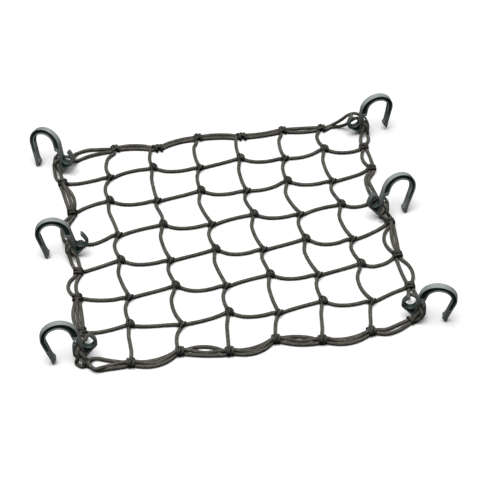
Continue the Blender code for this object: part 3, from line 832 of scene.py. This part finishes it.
# %% Places in a knot of the border
# All places are in the border's own frame: along it, out from the net, and up.
PAIR_GAP = 4.7            # between the middles of the two border cords
PORT_REACH = 4.2          # from a knot's middle to where the border cords leave it
MESH_REACH = 4.9          # and to where the mesh cord does
THIRD_Z = 7.4             # height of a third cord where it leaves a knot
THIRD_BACK = 1.075        # a third cord leaves this much nearer the knot's middle
PAIR_THROUGH = ((-3.0, 0.78, 4.2, 0.92), (0.0, 0.70, 4.1, 0.86), (3.0, 0.78, 4.2, 0.92))
END_ARRIVES = ((0.0, -6.6, 3.2, 1.0), (-0.8, -5.0, 5.2, 0.95))
SLIP_LEFT = 0.8           # how much of a mesh cord's offset along the border is left where it arrives
STAND_OFF = 5.0           # a mesh cord that meets the border further off than this bends back to its knot
END_BENDS_BACK = ((0.93, -1.6, 4.6, 0.97), (0.60, 0.6, 6.6, 0.92))
END_WRAPS = (
    (-0.9, -2.4, 7.4, 0.78), (0.6, 1.2, 7.8, 0.77), (1.5, 4.0, 5.4, 0.77),
    (0.8, 3.4, 1.9, 0.76), (-1.8, 0.0, 1.5, 0.74), (-3.0, -3.9, 2.2, 0.76),
    (-3.3, -4.5, 4.7, 0.77), (-3.2, -1.7, 6.7, 0.77), (-2.9, 1.7, 6.7, 0.77),
    (-2.7, 4.3, 4.4, 0.77), (-1.5, 3.2, 1.8, 0.76), (1.2, 0.0, 1.5, 0.74),
    (3.0, -3.9, 2.1, 0.76), (3.4, -4.5, 4.7, 0.77), (3.3, -1.7, 6.7, 0.77),
    (3.2, 1.6, 6.7, 0.77), (3.0, 4.0, 4.4, 0.76), (2.3, 3.0, 2.1, 0.74),
    (0.9, 1.0, 1.8, 0.78),
)
BACK_SHIFT = (2.2, -1.2)  # how far the wraps sit from the middle where the mesh cord stands off
print("a knot of the border is led past", len(END_WRAPS), "places")


# %% The frame of a border knot
def towards(degrees):
    """A level direction, in degrees from X."""
    return Vector((math.cos(math.radians(degrees)), math.sin(math.radians(degrees)), 0.0))


class BorderKnot:
    """One knot of the border: its middle, and the directions along the border and out from the net."""

    def __init__(self, middle, along, mesh_turn, slip=0.0, narrow=1.0):
        self.middle = Vector((middle.x, middle.y, 0.0))
        self.along = Vector((along.x, along.y, 0.0)).normalized()
        self.out = Vector((-self.along.y, self.along.x, 0.0))
        self.mesh_aim = towards(mesh_turn)
        self.slip = slip
        self.narrow = narrow
        self.hand = 1
        self.lift = 0.0

    def spot(self, t, n, z, thick=1.0):
        """A place given along the border, out from the net and up."""
        place = self.middle + self.along * t + self.out * n
        return (place.x, place.y, z, thick)

    def mesh_port(self):
        """Where the mesh cord reaches the knot, and the way it leaves it."""
        place = self.middle - self.out * (MESH_REACH * self.narrow) + self.along * self.slip
        return Vector((place.x, place.y, CORD_Z)), self.mesh_aim

    def strand_port(self, way, strand):
        """Where a border cord leaves the knot: way is 1 towards the next knot and -1 towards the last."""
        if strand == "third":
            return Vector(self.spot(way * (PORT_REACH - THIRD_BACK), 0.0, THIRD_Z)[:3])
        side = 1 if strand == "outer" else -1
        return Vector(self.spot(way * PORT_REACH, side * PAIR_GAP / 2, CORD_Z)[:3])

    def through(self, strand):
        """The places of a border cord inside the knot."""
        side = PAIR_GAP / 2 * (1 if strand == "outer" else -1)
        return [self.spot(t, side * share, z, thick) for t, share, z, thick in PAIR_THROUGH]

    def wraps(self):
        """The mesh cord's end round the border cords, from the mesh to the tucked end."""
        if abs(self.slip) > STAND_OFF:
            arrives = [self.spot(self.slip * share, n, z, thick) for share, n, z, thick in END_BENDS_BACK]
            over, aside = BACK_SHIFT
        else:
            arrives = [self.spot(self.slip * SLIP_LEFT + t, n * self.narrow, z, thick)
                       for t, n, z, thick in END_ARRIVES]
            over, aside = 0.0, 0.0
        return arrives + [self.spot(over + t * self.hand * self.narrow, aside + n * self.narrow,
                                    z + self.lift * (z > CORD_Z), thick) for t, n, z, thick in END_WRAPS]


print("a border knot can give:", ", ".join(name for name in vars(BorderKnot) if not name.startswith("_")))

# %% The knots on the pair of border cords
# The knot of the border that comes before each hook, clockwise.
HOOK_AFTER = {
    ("top", 6): "hook_right_back",
    ("right", 2): "hook_right_middle",
    ("right", 6): "hook_right_front",
    ("bottom", 1): "hook_left_front",
    ("left", 4): "hook_left_middle",
    ("left", 1): "hook_left_back",
}
THIRD_BOW = 8             # where a row of the border's table says that a third cord bows, if one is there
WRAP_LIFT = 1.3           # how much higher the wraps go over a third cord


def border_knots():
    """Every knot of the border, turned along the line from its last neighbour to its next one."""
    stops = []
    for side, number, x, y, *_ in BORDER:
        stops.append(((side, number), from_net(x, y)))
        if (side, number) in HOOK_AFTER:
            stops.append((None, hook_foot(HOOK_ROWS[HOOK_AFTER[side, number]])))
    rows = {row[:2]: row for row in BORDER}
    knots = {}
    for k, (name, place) in enumerate(stops):
        if name:
            along = stops[(k + 1) % len(stops)][1] - stops[k - 1][1]
            knots[name] = BorderKnot(place, along, rows[name][4], rows[name][5])
            knots[name].hand = -1 if name[0] == "top" else 1
    return knots


def border_pair(k):
    """A border knot and the next one, clockwise."""
    return [edge[BORDER[n % len(BORDER)][:2]] for n in (k, k + 1)]


edge = border_knots()
for k, row in enumerate(BORDER):
    if len(row) > THIRD_BOW:
        for knot in border_pair(k):
            knot.lift = WRAP_LIFT
print("border knots on the pair:", len(edge))

# %% The two knots behind the middle hooks
# Knots on the inner border cord alone: side, row, place (x, y), the headings of the border cord, of the
# cord to the hook and of the mesh cord, and where the border cord passes on its way here.
HALF_WAY = (
    ("left", 3, (-185.8, 19.2), (128, 262, 6), ((-197.0, 55.0), (-199.6, 41.0), (-195.6, 28.0))),
    ("right", 3, (171.2, 36.8), (108, 296, 216), ((169.0, 78.0), (167.4, 63.0), (168.2, 51.0))),
)
SINGLE_NARROW = 0.72      # wraps round one cord are this much narrower than round the pair
SINGLE_REACH = 4.6
SINGLE_HELD = (4.4, 0.88)    # how high that cord lies in the knot, and how thick it is there


def half_way_knots():
    """The knots that hold the inner border cord alone."""
    for side, number, (x, y), headings, _ in HALF_WAY:
        to_border, to_hook = towards(headings[0]), towards(headings[1])
        along = to_border - to_hook if side == "left" else to_hook - to_border
        knot = BorderKnot(from_net(x, y), along, headings[2], narrow=SINGLE_NARROW)
        knot.to_border = knot.middle + to_border * SINGLE_REACH + Vector((0, 0, CORD_Z))
        knot.to_hook = knot.middle + to_hook * SINGLE_REACH + Vector((0, 0, CORD_Z))
        edge[side, number] = knot


half_way_knots()
print("border knots in all:", len(edge))

# %% The rows and the columns
# How much further each run bows than its headings alone make it: in each row, from its left end on,
# away from the front edge, and in each column, from its back end on, to the right.
ROW_BOWS = (
    (0, 3.4, 0, 0, 0, -3.8, -0.2),
    (1.8, 0, 0, 0, -3.8, 0, 0),
    (-2.4, 1.6, 0, 1.8, 0, 2.4, 0),
    (0, 0, 0, -1.4, 0, -2.4, 0),
    (0, 0, -1.0, 1.4, 0, 0, 0),
    (0, 4.0, -1.5, 0, 1.0, 0, 1.4),
)
COLUMN_BOWS = (
    (-2.2, -2.0, 1.8, -1.6, -0.8, -0.6, 1.8),
    (-1.0, 1.2, 4.0, -1.0, 0, -3.0, -1.6),
    (0, 0, -1.2, -1.0, 0, -0.8, 0.6),
    (0, 0, 0, -1.4, 1.0, 0.2, 0),
    (0, 0, -2.4, 0, -1.2, 0, 0.2),
    (-1.8, -0.6, 0, -2.0, -0.4, -4.0, 1.4),
)

# The sides where a row and a column start and end, their ports in a knot, their bows and their knots.
FULL_CORDS = {
    "row": ("left", "right", "left", "right", ROW_BOWS, row_in_knot),
    "column": ("top", "bottom", "up", "down", COLUMN_BOWS, column_in_knot),
}


def full_cord(kind, number):
    """One row's or column's cord, from its wraps at one side of the border to those at the other."""
    from_side, to_side, way_in, way_out, bows, in_knot = FULL_CORDS[kind]
    first, last = edge[from_side, number], edge[to_side, number]
    route = list(reversed(first.wraps()))
    start = first.mesh_port()
    for run in range(1, CELLS):
        place = (number, run) if kind == "row" else (run, number)
        route += slack_run(start, port(*place, way_in), bows[number - 1][run - 1]) + in_knot(*place)
        start = port(*place, way_out)
    return route + slack_run(start, last.mesh_port(), bows[number - 1][-1]) + last.wraps()


rows, columns = CordSkin(), CordSkin()
for number in range(1, CELLS):
    rows.add(smooth_route(full_cord("row", number)))
    columns.add(smooth_route(full_cord("column", number)))
rows.piece("net_rows")
columns.piece("net_columns")

# %% [markdown]
# ## The border cords and the hooks' threading
#
# At a hook both cords rise from the table behind the shank, come forward through the narrow slot in the
# foot, which is open at its top, and go down again in front. That is why a hook can be slid along the
# border or swapped, and why it stays where it is under load.

# %% The cords at each hook
# The border cords at a hook, from behind it to its front: hook, cord; places on the table behind it, as
# (x, y) from its foot; places in the hook's own U, V and W while the cord rises; and places on the
# table in front of it. U runs to the tip's side and V up, both from the foot, and W to the hook's back.
LEADS = (
    ("hook_left_back", "outer", ((41.0, 40.4), (26.1, 39.1), (13.1, 32.5)),
     ((-8.1, 14.2, 9.2), (-2.2, 15.6, 6.9), (1.4, 15.9, 6.2)), ((-8.6, -12.5),)),
    ("hook_left_back", "inner", ((41.5, 32.8), (26.9, 27.0), (14.6, 19.0)),
     ((-7.3, 8.6, 8.6), (-2.2, 10.4, 6.9), (1.4, 10.7, 6.2)), ((-1.6, -13.0),)),
    ("hook_left_middle", "outer", ((-20.8, 52.6), (-21.8, 39.0), (-18.6, 25.6)),
     ((12.5, 10.5, 15.0), (8.0, 13.5, 9.5), (4.6, 15.4, 6.1)), ((-4.6, -17.0),)),
    ("hook_left_middle", "inner", (), ((1.2, 4.5, 12.5), (1.5, 9.6, 7.5)), ((2.8, -15.5),)),
    ("hook_left_front", "outer", (),
     ((-3.0, 19.5, 13.0), (0.3, 18.4, 8.2), (2.6, 16.9, 6.2)),
     ((-10.0, -8.9), (-3.6, -13.2), (1.4, -11.3), (6.5, -14.5), (13.0, -18.5), (25.0, -16.5))),
    ("hook_left_front", "inner", (),
     ((-8.0, 13.5, 13.0), (-2.4, 12.8, 7.6), (1.3, 11.0, 6.3)),
     ((-1.6, -6.3), (1.8, -7.1), (6.2, -3.1), (12.5, -1.9), (23.0, -4.3))),
    ("hook_right_back", "outer", ((-35.5, 11.8),),
     ((-21.5, 11.0, 13.0), (-15.5, 21.0, 9.6), (-8.0, 24.0, 8.5), (-0.8, 21.6, 7.2), (2.2, 18.4, 6.3)),
     ((11.0, -6.0), (11.2, -16.0))),
    ("hook_right_back", "inner", ((-35.4, 9.3), (-24.0, 10.6)),
     ((-14.6, 5.4, 10.2), (-9.4, 12.2, 9.1), (-3.2, 16.4, 7.9), (1.3, 12.5, 6.4)),
     ((1.6, -14.0),)),
    ("hook_right_middle", "outer", ((-5.6, 64.0), (-2.2, 49.7), (1.6, 37.2)),
     ((2.6, 14.5, 14.5), (2.2, 15.8, 8.0)), ((16.4, -3.1),)),
    ("hook_right_middle", "inner", (), ((1.2, 4.5, 12.5), (1.5, 9.6, 7.5)), ((10.6, -5.0),)),
    ("hook_right_front", "outer", ((7.0, 29.2),),
     ((-1.6, 14.6, 14.0), (0.8, 16.8, 8.2), (2.4, 16.4, 6.3)),
     ((-0.3, -9.1), (-10.2, -16.8), (-20.0, -23.6), (-31.0, -27.4))),
    ("hook_right_front", "inner", ((-2.6, 28.5),),
     ((-9.5, 16.5, 13.0), (-3.0, 19.5, 8.6), (1.2, 12.6, 6.6)),
     ((-2.1, -5.5), (-12.7, -11.0), (-20.8, -15.6), (-31.0, -20.8))),
)
# The way through any hook's narrow slot and down in front of its foot, in the hook's own U, V and W.
THREADS = {
    "outer": ((3.4, 15.7, 2.9), (3.4, 15.7, -0.6), (3.5, 15.7, -4.2), (6.2, 13.4, -7.2), (7.2, 8.0, -8.3)),
    "inner": ((3.4, 10.7, 3.0), (3.4, 10.7, -0.6), (3.3, 10.5, -4.2), (1.2, 6.6, -7.2), (-0.2, 2.2, -8.6)),
}
print("cords led past hooks:", len(LEADS))


# %% A border cord past a hook
def beside(foot, x, y, z=CORD_Z):
    """A place given from a foot, at the height of a slack cord if it doesn't say its own."""
    return (foot.x + x, foot.y + y, z)


def at_hook(name, strand):
    """The places of a border cord from behind a hook to its front."""
    row = HOOK_ROWS[name]
    foot = hook_foot(row)
    stand = hook_frame(row)
    _, _, before, rise, after = next(line for line in LEADS if line[:2] == (name, strand))
    places = [lay(beside(foot, *place)) for place in before]
    places += [lay(stand @ Vector((u * row[1], w, v))) for u, v, w in rise + THREADS[strand]]
    return places + [lay(beside(foot, *place)) for place in after]


def half_way_places(name, strand):
    """The places of the inner border cord at the knot behind a middle hook, on its way to the hook."""
    for side, number, _, _, route in HALF_WAY:
        if strand == "inner" and name == "hook_" + side + "_middle":
            knot = edge[side, number]
            places = [lay((*from_net(x, y).xy, CORD_Z)) for x, y in route]
            return places + [lay(knot.to_border), knot.spot(0.0, 0.0, *SINGLE_HELD), lay(knot.to_hook)]
    return []


print("a border cord passes", len(at_hook("hook_left_back", "outer")), "places at the first hook")


# %% The two border cords, each one closed loop
def bowed(start, end, bow):
    """The places of a border cord between two knots, bowed away from the net or towards it."""
    chord = end - start
    out = Vector((-chord.y, chord.x, 0)).normalized()
    return hung(lambda t: start + chord * t, out, bow, start.z - CORD_Z)


def border_loop(strand):
    """One border cord, all the way round."""
    route = []
    for k, (side, number, _, _, _, _, *bows) in enumerate(BORDER):
        here, there = border_pair(k)
        start, end = here.strand_port(1, strand), there.strand_port(-1, strand)
        route += [lay(here.strand_port(-1, strand)), *here.through(strand), lay(start)]
        name = HOOK_AFTER.get((side, number))
        if name is None:
            route += bowed(start, end, bows[0 if strand == "outer" else 1])
            continue
        places = half_way_places(name, strand) + at_hook(name, strand)
        route += reversed(places) if name.startswith("hook_left") else places
    return route


border = CordSkin()
for strand in ("outer", "inner"):
    border.add(smooth_route(border_loop(strand), closed=True), closed=True)
border.piece("net_border")

# %% The tucked ends along the border
# Where an end is lashed round both border cords: hook, place (x, y) from its foot, and which way the
# cords run there in degrees.
LASHINGS = (
    ("hook_left_front", (1.6, -9.1), 172),
    ("hook_right_front", (-1.2, -7.3), 209),
)
THIRD_HELD = (6.6, 0.85)  # how high a third cord lies inside a knot, and how thick it is there
# The corner's third cord, from the border to the lashing: places (x, y, z) from the hook's foot.
CORNER_END = ((28.0, -11.8, 3.6), (17.5, -18.0, 6.6), (10.8, -19.0, 5.8), (4.2, -13.0, 6.2), (2.0, -9.6, 6.4))


def tucked_end(k):
    """A third cord from inside one border knot to inside the next."""
    here, there = border_pair(k)
    start, end = here.strand_port(1, "third"), there.strand_port(-1, "third")
    return [here.spot(0.0, 0.0, *THIRD_HELD), lay(start), *bowed(start, end, BORDER[k][THIRD_BOW]),
            lay(end), there.spot(0.0, 0.0, *THIRD_HELD)]


def corner_end():
    """The third cord of the left front corner, from the nearest knot of the front border to the lashing."""
    foot = hook_foot(HOOK_ROWS["hook_left_front"])
    knot = edge["bottom", 1]
    return [knot.spot(0.0, 0.0, *THIRD_HELD), lay(knot.strand_port(1, "third")),
            *(lay(beside(foot, *place)) for place in CORNER_END)]


ends = CordSkin()
for k, row in enumerate(BORDER):
    if len(row) > THIRD_BOW:
        ends.add(smooth_route(tucked_end(k)))
ends.add(smooth_route(corner_end()))
for name, (x, y), turn in LASHINGS:
    lashing = BorderKnot(hook_foot(HOOK_ROWS[name]) + Vector((x, y, 0)), towards(turn), 0)
    ends.add(smooth_route(lashing.wraps()[len(END_ARRIVES):]))
ends.piece("net_tucked_ends")

# %% [markdown]
# ## The hooks
#
# Each hook is one flat moulding, 7 mm thick, with thin rims round two sunk panels: one follows the bend
# and one fills the foot. A mould never makes a sharp edge, so every rim is rounded, and the panels have
# rounded floors. The outline is a short table of corners and arcs. Cutting its corners twice makes it
# smooth, and copies of it, a little smaller and a little higher each, roll the edge over.

# %% The hook's outline
# Corners and centres are given by their U and V, and the thickness lies along W.
HOOK_THICK = 6.8
BEND_CENTRE = (15.9, 37.6)
BEND_OUTER_R = 20.9
EYE_CENTRE = (17.2, 37.9)
EYE_R = 13.4
SEAT_HALF = 2.6           # half the flat under the crown
BEND_STEPS = 22
SLOT_CENTRE = (-9.9, 17.1)    # of the round bottom of the long slot
SLOT_R = 5.8
SLOT_EDGE = 0.8           # how far round the slot its walls reach
POCKET_CENTRE = (3.4, 10.4)   # of the round bottom of the narrow slot
POCKET_R = 2.7
RECESS_DEPTH = 2.2
FLANGE = 1.3
INNER_FLANGE = 1.5


def arc(centre, radius, first, last, steps):
    """Points on a circle from one angle to another, both included, in degrees."""
    points = []
    for step in range(steps + 1):
        angle = math.radians(first + (last - first) * step / steps)
        points.append((centre[0] + radius * math.cos(angle), centre[1] + radius * math.sin(angle)))
    return points


def hook_outline():
    """The broad face's edge, from the net side of the bend over its crown and round."""
    turn = math.degrees(math.asin(SEAT_HALF / EYE_R))
    half = BEND_STEPS // 2 - 1
    bend = arc(BEND_CENTRE, BEND_OUTER_R, 180, 0, BEND_STEPS)
    tip = [(36.3, 14.5), (36.8, 9.0), (36.4, 6.6), (35.3, 6.1), (32.6, 8.7), (29.5, 12.0), (31.0, 15.4),
           (31.4, 20.0)]
    eye = arc(EYE_CENTRE, EYE_R, 0, 90 - turn, half) + arc(EYE_CENTRE, EYE_R, 90 + turn, 180, half)
    rim_end = [(3.9, 31.0), (3.9, 28.7), (3.0, 27.8), (0.5, 27.7), (0.5, 19.0), (0.8, 15.4)]
    pocket = arc(POCKET_CENTRE, POCKET_R, 180, 360, 6)
    short_prong = [(6.2, 16.4), (4.4, 19.4), (3.4, 21.6), (4.2, 22.4), (6.3, 22.0), (9.3, 16.6), (12.0, 9.2),
                   (12.0, 6.0), (10.9, 3.9)]
    sole = [(4.0, -0.6), (2.2, -1.0), (-4.0, 2.5), (-11.0, 7.0), (-15.4, 9.3), (-17.6, 11.2), (-18.6, 14.0)]
    long_prong = [(-18.7, 18.5), (-17.6, 23.2), (-15.8, 27.6), (-14.5, 28.8), (-13.6, 28.2), (-13.9, 25.4),
                  (-15.3, 21.6)]
    slot = arc(SLOT_CENTRE, SLOT_R, 180, 360, 8)
    shank = [(-4.3, 24.0), (-4.7, 31.0)]
    return bend + tip + eye + rim_end + pocket + short_prong + sole + long_prong + slot + shank


def bend_recess():
    """The sunk panel that runs from the shank round the bend and down to the tip."""
    outer = arc(BEND_CENTRE, BEND_OUTER_R - FLANGE, 180, 0, BEND_STEPS)
    inner = arc(EYE_CENTRE, EYE_R + INNER_FLANGE, 0, 180, BEND_STEPS)
    return outer + [(34.8, 24.0), (32.8, 25.0)] + inner + [(2.2, 30.4), (-3.0, 30.4)]


def foot_recess():
    """The sunk panel between the long slot and the sole."""
    round_slot = arc(SLOT_CENTRE, SLOT_R + FLANGE, -20, -150, 5)
    return [(-2.6, 12.0)] + round_slot + [(-16.0, 12.2), (-10.2, 8.4), (-4.0, 4.6), (-1.2, 3.4), (-1.2, 9.5)]


print("outline before its corners are cut:", len(hook_outline()), "corners")

# %% Cutting corners and moving inward
CORNER_CUTS = 2


def softened(points):
    """The outline with its corners cut, again and again, each cut a quarter of the way along."""
    loop = np.array(points, float)
    for _ in range(CORNER_CUTS):
        ahead = np.roll(loop, -1, 0)
        loop = np.stack((loop * 0.75 + ahead * 0.25, loop * 0.25 + ahead * 0.75), 1).reshape(-1, 2)
    return loop


def inset(loop, by):
    """The outline moved inward, or outward where by is below zero."""
    ahead, behind = np.roll(loop, -1, 0), np.roll(loop, 1, 0)
    area = float(np.sum(loop[:, 0] * ahead[:, 1] - ahead[:, 0] * loop[:, 1])) / 2
    along = ahead - behind
    along /= np.linalg.norm(along, axis=1)[:, None]
    inward = np.stack((-along[:, 1], along[:, 0]), 1) * math.copysign(1.0, area)
    return loop + inward * by


print("outline:", len(softened(hook_outline())), "corners")

# %% Loops that roll an edge over
EDGE_ROUND = 0.55
RECESS_ROUND = 0.28
FLOOR_ROUND = 0.30
ROUND_STEPS = 4
PAINTED_LIGHT_FROM = 14.0       # below this height no light is painted on the plastic
PAINTED_LIGHT_FULL = 40.0       # and from here up the most light is painted on it, as if lit from above
FOOT_TO = -5.5            # beyond this the plastic belongs to the long prong, among the cords, and gets no painted light
TIP_FROM = 24.0           # beyond this the plastic belongs to the tip
# the least painted light that the tip gets
TIP_PAINTED_LIGHT = 0.5


class Moulding:
    """One hook's mesh, made of loops at different depths."""

    def __init__(self, way):
        self.shape = bmesh.new()
        self.way = way
        self.sunk = {}

    def loop(self, points, depth, sunk=0.0):
        """A closed loop of corners at one depth through the hook; the last number says how much shade is
        painted on it, 1 on a panel's floor.
        """
        made = [self.shape.verts.new((u * self.way, depth, v)) for u, v in points]
        self.sunk.update(dict.fromkeys(made, sunk))
        return made

    def wall(self, near, far):
        """The band of faces between two loops."""
        for k in range(len(near)):
            self.shape.faces.new((near[k - 1], near[k], far[k], far[k - 1]))

    def fill(self, loops):
        """Close the flat between one or more loops."""
        edges = []
        for loop in loops:
            for k in range(len(loop)):
                pair = (loop[k - 1], loop[k])
                edges.append(self.shape.edges.get(pair) or self.shape.edges.new(pair))
        bmesh.ops.triangle_fill(self.shape, edges=edges, use_beauty=True)

    def rolled(self, points, start, radius, way, inward, sunk=0.0):
        """Loops that turn a straight wall into a flat, a quarter circle in all; returns them in order."""
        loops = []
        for step in range(ROUND_STEPS + 1):
            angle = math.radians(90 * step / ROUND_STEPS)
            in_by = radius * (1 - math.cos(angle)) * inward
            loops.append(self.loop(inset(points, in_by), start + way * radius * math.sin(angle), sunk))
        for near, far in zip(loops, loops[1:]):
            self.wall(near, far)
        return loops

    def paint_slot_shade(self, corners):
        """Paint full shade on the slot's own walls, as on the panels' floors; only the rolled rims round it
        stay unpainted.
        """
        for corner in corners:
            away = math.hypot(corner.co.x * self.way - SLOT_CENTRE[0], corner.co.z - SLOT_CENTRE[1])
            if away < SLOT_R + SLOT_EDGE:
                self.sunk[corner] = 1.0

    def write_map(self):
        """Write how much shade is painted on each corner, and how much light, which grows with its height,
        for the plastic to read.
        """
        layer = self.shape.loops.layers.uv.new("wear")
        for face in self.shape.faces:
            for corner in face.loops:
                across, _, up = corner.vert.co
                # painted light, as if from above: it grows with height, the long prong gets none, and the tip
                # gets at least a set share
                high = (up - PAINTED_LIGHT_FROM) / (PAINTED_LIGHT_FULL - PAINTED_LIGHT_FROM)
                if across * self.way < FOOT_TO:
                    high = 0.0
                elif across * self.way > TIP_FROM:
                    high = max(high, TIP_PAINTED_LIGHT)
                corner[layer].uv = (self.sunk[corner.vert], min(max(high, 0.0), 1.0))


print("a quarter circle takes", ROUND_STEPS + 1, "loops")


# %% The six hooks
def hook_mesh(way):
    """A hook in its own frame, its tip to the left or to the right, in millimetres."""
    made = Moulding(way)
    outline = softened(hook_outline())
    half = HOOK_THICK / 2
    waists = []
    for side in (-1, 1):
        edge_loops = made.rolled(outline, side * (half - EDGE_ROUND), EDGE_ROUND, side, 1)
        # the slot's own walls are painted with shade
        made.paint_slot_shade(edge_loops[0])
        waists.append(edge_loops[0])
        rims = [edge_loops[-1]]
        for recess in (bend_recess(), foot_recess()):
            smooth = softened(recess)
            lip = made.rolled(smooth, side * (half - RECESS_ROUND), RECESS_ROUND, side, -1)
            depth = side * (half - RECESS_DEPTH + FLOOR_ROUND)
            # a panel's floor gets the full painted shade, the last number
            floor = made.rolled(smooth, depth, FLOOR_ROUND, -side, 1, 1.0)
            made.wall(lip[0], floor[0])
            rims.append(lip[-1])
            made.fill([floor[-1]])
        made.fill(rims)
    made.wall(*waists)
    made.write_map()
    return made.shape


def make_hook(row):
    """One hook, standing on its foot beside the border."""
    shape = hook_mesh(row[1])
    bmesh.ops.recalc_face_normals(shape, faces=shape.faces)
    bmesh.ops.transform(shape, matrix=hook_frame(row), verts=shape.verts)
    bmesh.ops.scale(shape, vec=(MM, MM, MM), verts=shape.verts)
    mesh = bpy.data.meshes.new(row[0] + "_moulded")
    shape.to_mesh(mesh)
    shape.free()
    mesh.materials.append(hook_finish)
    mesh.shade_smooth()
    made = put(row[0] + "_moulded", mesh)
    even = made.modifiers.new("even", "WEIGHTED_NORMAL")
    even.weight = 100
    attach(made, "root")
    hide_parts(row[0])
    return made


for row in HOOKS:
    print(make_hook(row).name)
